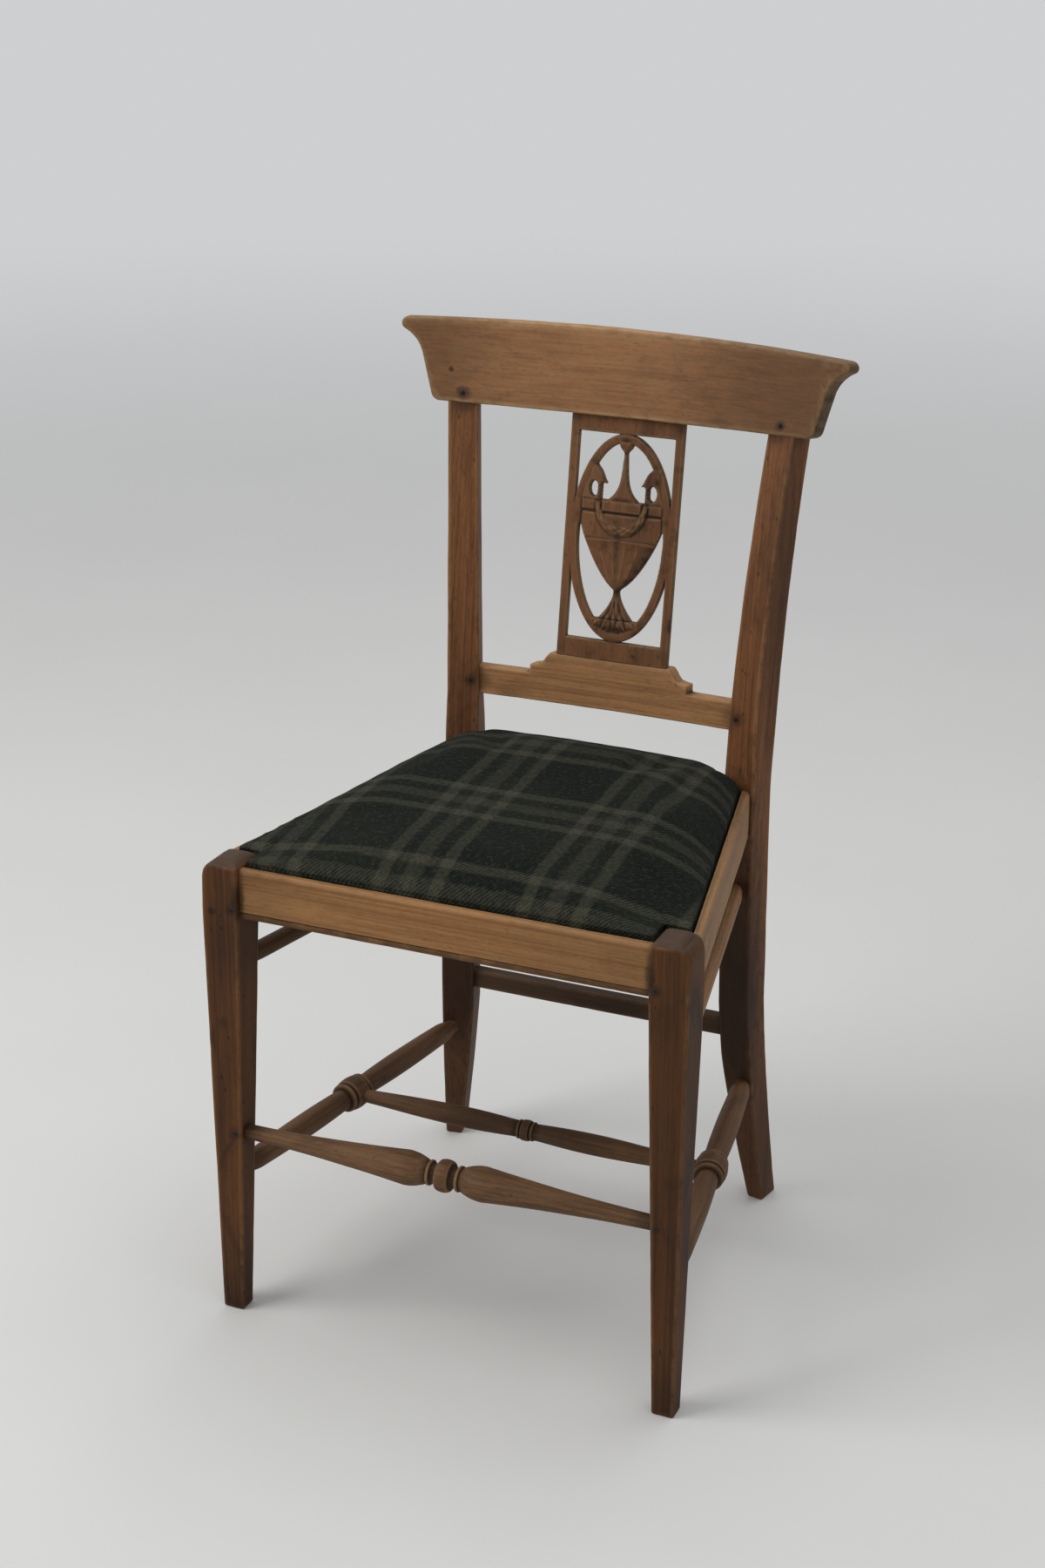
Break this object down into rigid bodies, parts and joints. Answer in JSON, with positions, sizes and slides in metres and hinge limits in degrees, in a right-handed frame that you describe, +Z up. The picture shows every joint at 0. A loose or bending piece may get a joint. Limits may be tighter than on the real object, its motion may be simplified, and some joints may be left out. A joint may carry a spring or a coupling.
{
  "type": "dining chair",
  "caption": "Side chair with a concave flared crest, pierced and carved urn splat, turned stretchers and a crowned lift-out seat in plaid cloth.",
  "frame": {"origin": "on the floor, under the middle of the chair's overall box", "axes": "+X towards the chair's side that is on the right seen from the front, +Y towards the back, +Z up; the front faces -Y"},
  "size_m": [0.458, 0.4486, 0.8636],
  "materials": {
    "dark_wood": "worn wax over stain",
    "mid_wood": "worn wax over stain",
    "light_wood": "worn wax",
    "peg_wood": "dark end grain",
    "seat_frame_wood": "raw",
    "jute_webbing": "woven jute",
    "hessian": "open weave",
    "stuffing": "calico over hair",
    "plaid_cloth": "woollen twill check"
  },
  "bodies": {
    "frame": {"front_leg_left": "dark_wood", "front_leg_right": "dark_wood", "rear_post_left": "dark_wood", "rear_post_right": "dark_wood", "front_rail": "light_wood", "side_rail_left": "mid_wood", "side_rail_right": "mid_wood", "rear_rail": "mid_wood", "front_stretcher": "light_wood", "side_stretcher_left": "light_wood", "side_stretcher_right": "light_wood", "cross_stretcher": "light_wood", "upper_stretcher_left": "mid_wood", "upper_stretcher_right": "mid_wood", "rear_stretcher": "mid_wood", "mid_rail": "light_wood", "splat": "mid_wood", "crest_rail": "light_wood", "crest_pegs": "peg_wood", "mid_rail_pegs": "peg_wood", "front_rail_pegs": "peg_wood", "front_stretcher_pegs": "peg_wood"},
    "drop_in_seat": {"seat_frame_front": "seat_frame_wood", "seat_frame_back": "seat_frame_wood", "seat_frame_left": "seat_frame_wood", "seat_frame_right": "seat_frame_wood", "seat_webbing": "jute_webbing", "seat_hessian": "hessian", "seat_pad": "stuffing", "seat_cover": "plaid_cloth"}
  },
  "joints": [
    {"name": "seat_lift", "type": "slide", "parent": "frame", "child": "drop_in_seat", "axis": [0, -0.1045, 0.9945], "range_m": [0, 0.1]}
  ]
}
